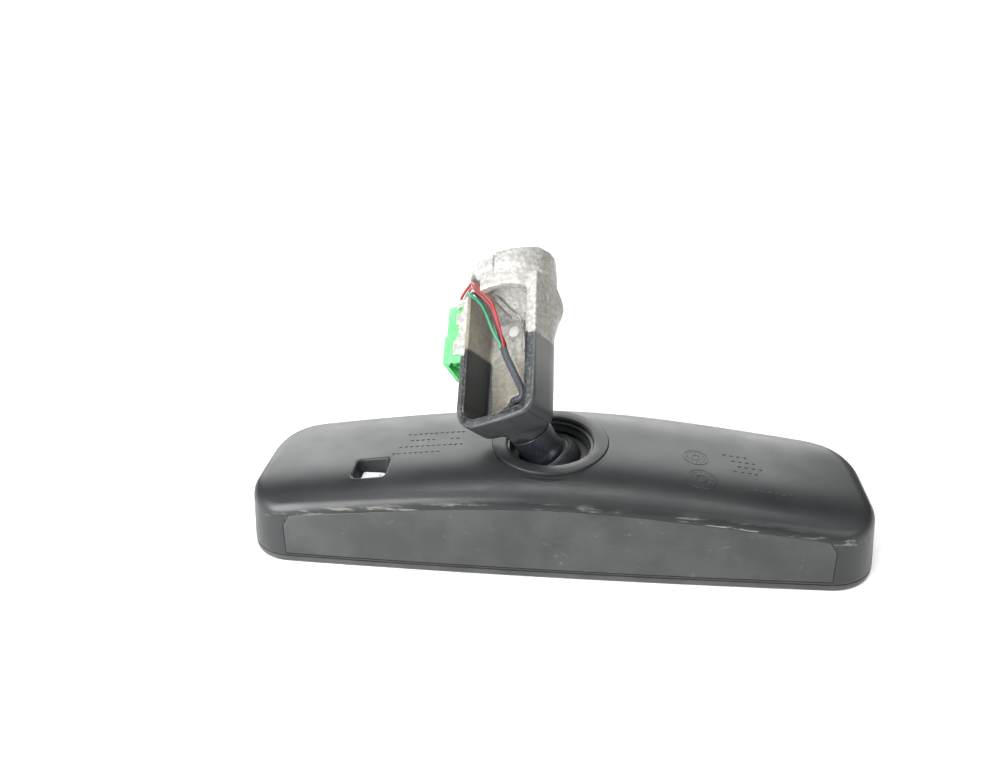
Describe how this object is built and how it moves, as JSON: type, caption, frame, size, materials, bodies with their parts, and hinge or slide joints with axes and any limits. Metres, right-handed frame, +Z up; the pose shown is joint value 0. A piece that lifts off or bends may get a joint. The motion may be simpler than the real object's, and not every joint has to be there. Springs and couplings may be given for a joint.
{
  "type": "interior rearview mirror",
  "caption": "Self-dimming interior rearview mirror: domed housing on a ball joint, with a cast trough-shaped arm, round twist-lock collar, connector and wires.",
  "frame": {"origin": "on the plane the bezel rests on, under the middle of the whole mirror's bounding box, head lying glass down", "axes": "+X along the head, from the connector side of the arm towards the other end; +Y across the head towards the collar; +Z up, out of the head's back"},
  "size_m": [0.25, 0.0938, 0.1099],
  "materials": {
    "cast_alloy": "as cast above, satin black paint below",
    "stud_black": "satin black on steel",
    "zinc_steel": "zinc plated",
    "spring_steel": "drawn wire",
    "white_nylon": "moulded",
    "green_plastic": "moulded",
    "contact_brass": "plain",
    "red_pvc": "wire insulation",
    "green_pvc": "wire insulation",
    "black_pvc": "wire insulation",
    "sleeve_pvc": "cable sleeve",
    "liner_acetal": "moulded",
    "cup_acetal": "moulded",
    "housing_black": "fine grain",
    "trim_black": "satin",
    "panel_black": "smooth satin",
    "lens_clear": "clear moulded lens",
    "clear_glass": "polished",
    "mirror_glass": "silvered",
    "gel_tint": "clear gel",
    "seal_black": "cured epoxy",
    "foam_grey": "closed cell foam",
    "inner_black": "glass filled",
    "board_green": "solder mask",
    "chip_black": "moulded",
    "can_metal": "plain",
    "header_ivory": "moulded"
  },
  "bodies": {
    "arm": {"mount_arm": "cast_alloy", "ball_stud": "stud_black", "stud_nut": "zinc_steel", "retaining_spring": "spring_steel", "spring_rivet": "white_nylon", "connector_housing": "green_plastic", "connector_lock": "green_plastic", "connector_pins": "contact_brass", "wire_red_upper": "red_pvc", "wire_red_lower": "red_pvc", "wire_green": "green_pvc", "wire_black": "black_pvc", "harness_sleeve": "sleeve_pvc"},
    "liner": {"socket_liner": "liner_acetal"},
    "cup": {"socket_cup": "cup_acetal"},
    "head": {"board_screws": "zinc_steel", "socket_screws": "zinc_steel", "socket_spring": "spring_steel", "pressure_ring": "white_nylon", "bus_clips": "contact_brass", "harness_tail": "sleeve_pvc", "rear_housing": "housing_black", "opening_ring": "trim_black", "bezel": "trim_black", "blanking_panel": "panel_black", "sensor_lens": "lens_clear", "ambient_sensor": "lens_clear", "glare_sensor": "lens_clear", "front_glass": "clear_glass", "rear_glass": "mirror_glass", "dimming_gel": "gel_tint", "edge_seal": "seal_black", "foam_pad": "foam_grey", "backing_plate": "inner_black", "socket_housing": "inner_black", "circuit_board": "board_green", "microcontroller": "chip_black", "capacitors": "can_metal", "spring_retainer": "can_metal", "board_header": "header_ivory", "harness_plug": "header_ivory"}
  },
  "joints": [
    {"name": "stem_twist", "type": "hinge", "parent": "arm", "child": "liner", "pos_m": [-0.0017, -0.01084, 0.029], "axis": [-0.4459, -0.0349, 0.8944], "range_deg": [-30, 20]},
    {"name": "head_tilt", "type": "hinge", "parent": "liner", "child": "cup", "pos_m": [-0.0017, -0.01084, 0.029], "axis": [0.8949, 0, 0.4462], "range_deg": [-8, 12]},
    {"name": "head_swing", "type": "hinge", "parent": "cup", "child": "head", "pos_m": [-0.0017, -0.01084, 0.029], "axis": [0, 1, 0], "range_deg": [-54, 1]}
  ]
}
